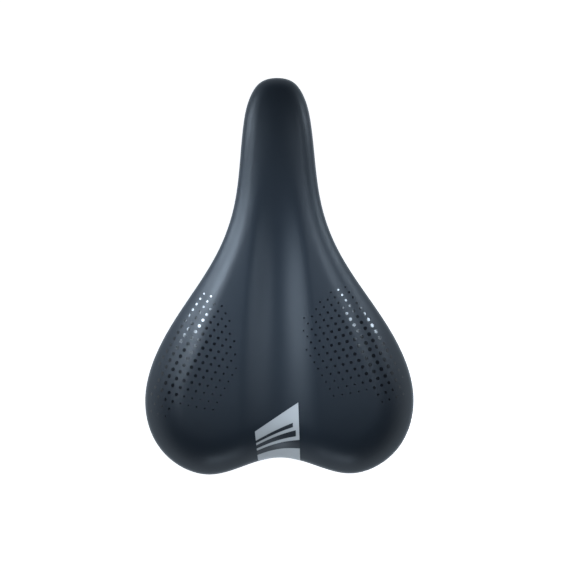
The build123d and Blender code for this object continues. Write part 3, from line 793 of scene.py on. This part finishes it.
CUP_BLACK = (0.02, 0.02, 0.021)
cup_paint, tree, shader, place = material("cup_coating", CUP_BLACK, 0.36, 0.1, metallic=0.2)
vary_roughness(tree, shader, noise(tree, place, 300, 4), 0.28, 0.46)
bump(tree, shader, noise(tree, place, 1400, 3), 50, 0.4)

mark_ink, tree, shader, place = material("mark_ink", (0.02, 0.02, 0.022), 0.5, 0.1)
bump(tree, shader, noise(tree, place, 1200, 2), 20, 0.3)
rail_marks.data.materials.append(mark_ink)

LOOKS = {
    "base_shell": shell_look,
    "cover_staples": zinc,
    "spring_nuts": zinc,
    "nose_nuts": zinc,
    "nose_screws": zinc,
    "nose_socket": nylon,
    "nose_keeper": nylon,
    "rear_bridge": nylon,
    "rail_frame": steel,
    "rail_pins": zinc,
}
for name, _ in SIDES:
    LOOKS[f"spring_bolt_{name}"] = zinc
    LOOKS[f"bolt_washer_{name}"] = zinc
    LOOKS[f"rebound_pad_{name}"] = rubber
    LOOKS[f"upper_cup_{name}"] = cup_paint
    LOOKS[f"lower_cup_{name}"] = cup_paint
for node, look in LOOKS.items():
    for slot in NODES[node].material_slots:
        slot.material = look

# ---------------------------------------------------------------- stage, in metres
FLOOR_Z = -0.30
FLOOR_REACH = 6.0
FLOOR_GREY = (0.92, 0.92, 0.92)
FLOOR_ROUGH = 0.9
WHITE = (1, 1, 1)
# The sweep's colour, which the floor has too in the saddle's reflections, and the softboxes' colour.
COOL_AIR = (0.76, 0.88, 1.0)
COOL_LIGHT = (0.71, 0.85, 1.0)
# Strengths of the world: a sweep round the saddle that fades into a dark ceiling, and what the camera
# sees in place of both.
HORIZON_LIGHT, CEILING_LIGHT, SEEN_LIGHT = 1.0, 0.07, 0.9
# Sine of the elevation where the sweep has faded out.
CEILING_FROM = 0.36
# Each light: name, azimuth and elevation from its target in degrees, distance, target, size, power in
# watts, width of its beam in degrees.
LIGHTS = (
    ("left_softbox", 58, 46, 0.55, (-0.005, 0.03, 0.055), (0.14, 0.24), 0.17, 24),
    ("right_softbox", -55, 55, 0.55, (0.0, -0.03, 0.055), (0.13, 0.20), 0.054, 24),
    ("left_strip", 66, 18, 0.6, (0.055, 0.03, 0.055), (0.20, 0.14), 0.09, 24),
    ("right_strip", -66, 14, 0.6, (0.05, -0.03, 0.055), (0.20, 0.14), 0.05, 24),
    ("tail_strip", 180, 20, 0.6, (-0.10, 0.0, 0.055), (0.40, 0.14), 0.07, 40),
)


def area_light(name, azimuth, elevation, distance, target, size, power, beam):
    """A softbox aimed at its target."""
    around, up = math.radians(azimuth), math.radians(elevation)
    reach = math.cos(up)
    away = Vector((reach * math.cos(around), reach * math.sin(around), math.sin(up)))
    data = bpy.data.lights.new(name, "AREA")
    data.shape = "RECTANGLE"
    data.size, data.size_y = size
    data.energy = power
    data.spread = math.radians(beam)
    data.color = COOL_LIGHT
    light = bpy.data.objects.new(name, data)
    light.location = Vector(target) + distance * away
    light.rotation_mode = "QUATERNION"
    light.rotation_quaternion = (-away).to_track_quat("-Z", "Y")
    bpy.context.scene.collection.objects.link(light)
    return light


def seen_by_camera(tree):
    """1 for what the camera sees itself, 0 in reflections and for light."""
    return tree.nodes.new("ShaderNodeLightPath").outputs["Is Camera Ray"]


floor_mesh = bpy.data.meshes.new("floor")
corners = [(FLOOR_REACH * x, FLOOR_REACH * y, 0) for x, y in ((-1, -1), (1, -1), (1, 1), (-1, 1))]
floor_mesh.from_pydata(corners, [], [(0, 1, 2, 3)])
floor = bpy.data.objects.new("floor", floor_mesh)
floor.location = (0, 0, FLOOR_Z)
bpy.context.scene.collection.objects.link(floor)
paper = bpy.data.materials.new("paper_floor")
paper.use_nodes = True
tree = paper.node_tree
shader = tree.nodes["Principled BSDF"]
shader.inputs["Base Color"].default_value = (*FLOOR_GREY, 1)
shader.inputs["Roughness"].default_value = FLOOR_ROUGH
shader.inputs["Emission Strength"].default_value = 1.0
tint = color_mix(tree, COOL_AIR, WHITE, seen_by_camera(tree))
tree.links.new(tint, shader.inputs["Emission Color"])
# Seen from below the floor is clear, so that the underside can be looked at.
clear = tree.nodes.new("ShaderNodeBsdfTransparent")
facing = tree.nodes.new("ShaderNodeNewGeometry")
either = tree.nodes.new("ShaderNodeMixShader")
tree.links.new(facing.outputs["Backfacing"], either.inputs[0])
tree.links.new(shader.outputs["BSDF"], either.inputs[1])
tree.links.new(clear.outputs["BSDF"], either.inputs[2])
tree.links.new(either.outputs["Shader"], tree.nodes["Material Output"].inputs["Surface"])
floor_mesh.materials.append(paper)

lights = [area_light(*light) for light in LIGHTS]

world = bpy.data.worlds.new("studio")
world.use_nodes = True
tree = world.node_tree
backdrop = tree.nodes["Background"]
backdrop.inputs["Color"].default_value = (*COOL_AIR, 1)
height = tree.nodes.new("ShaderNodeSeparateXYZ")
direction = tree.nodes.new("ShaderNodeTexCoord").outputs["Generated"]
tree.links.new(direction, height.inputs["Vector"])
level = tree.nodes.new("ShaderNodeMapRange")
level.interpolation_type = "SMOOTHSTEP"
level.inputs["From Min"].default_value = 0.0
level.inputs["From Max"].default_value = CEILING_FROM
level.inputs["To Min"].default_value = HORIZON_LIGHT
level.inputs["To Max"].default_value = CEILING_LIGHT
tree.links.new(height.outputs["Z"], level.inputs["Value"])
seen = tree.nodes.new("ShaderNodeMix")
seen.inputs["B"].default_value = SEEN_LIGHT
tree.links.new(seen_by_camera(tree), seen.inputs["Factor"])
tree.links.new(level.outputs["Result"], seen.inputs["A"])
tree.links.new(seen.outputs["Result"], backdrop.inputs["Strength"])
bpy.context.scene.world = world

# ---------------------------------------------------------------- camera, straight down, nose up
# The view is this wide at the height PLANE_Z.
VIEW_WIDTH, PLANE_Z = 0.3808, 0.036
CAMERA_PLACE = (-0.0040, -0.0050, 1.6)
SENSOR_MM = 36.0
ROLL_DEGREES = -0.45
NOSE_UP = ((0, 1, 0, 0), (-1, 0, 0, 0), (0, 0, 1, 0), (0, 0, 0, 1))

camera_data = bpy.data.cameras.new("camera")
camera_data.sensor_width = SENSOR_MM
camera_data.lens = SENSOR_MM * (CAMERA_PLACE[2] - PLANE_Z) / VIEW_WIDTH
camera = bpy.data.objects.new("camera", camera_data)
turned = Matrix(NOSE_UP) @ Matrix.Rotation(math.radians(ROLL_DEGREES), 4, "Z")
camera.matrix_world = Matrix.Translation(CAMERA_PLACE) @ turned
bpy.context.scene.collection.objects.link(camera)
bpy.context.scene.camera = camera
bpy.context.scene.view_settings.view_transform = "Standard"
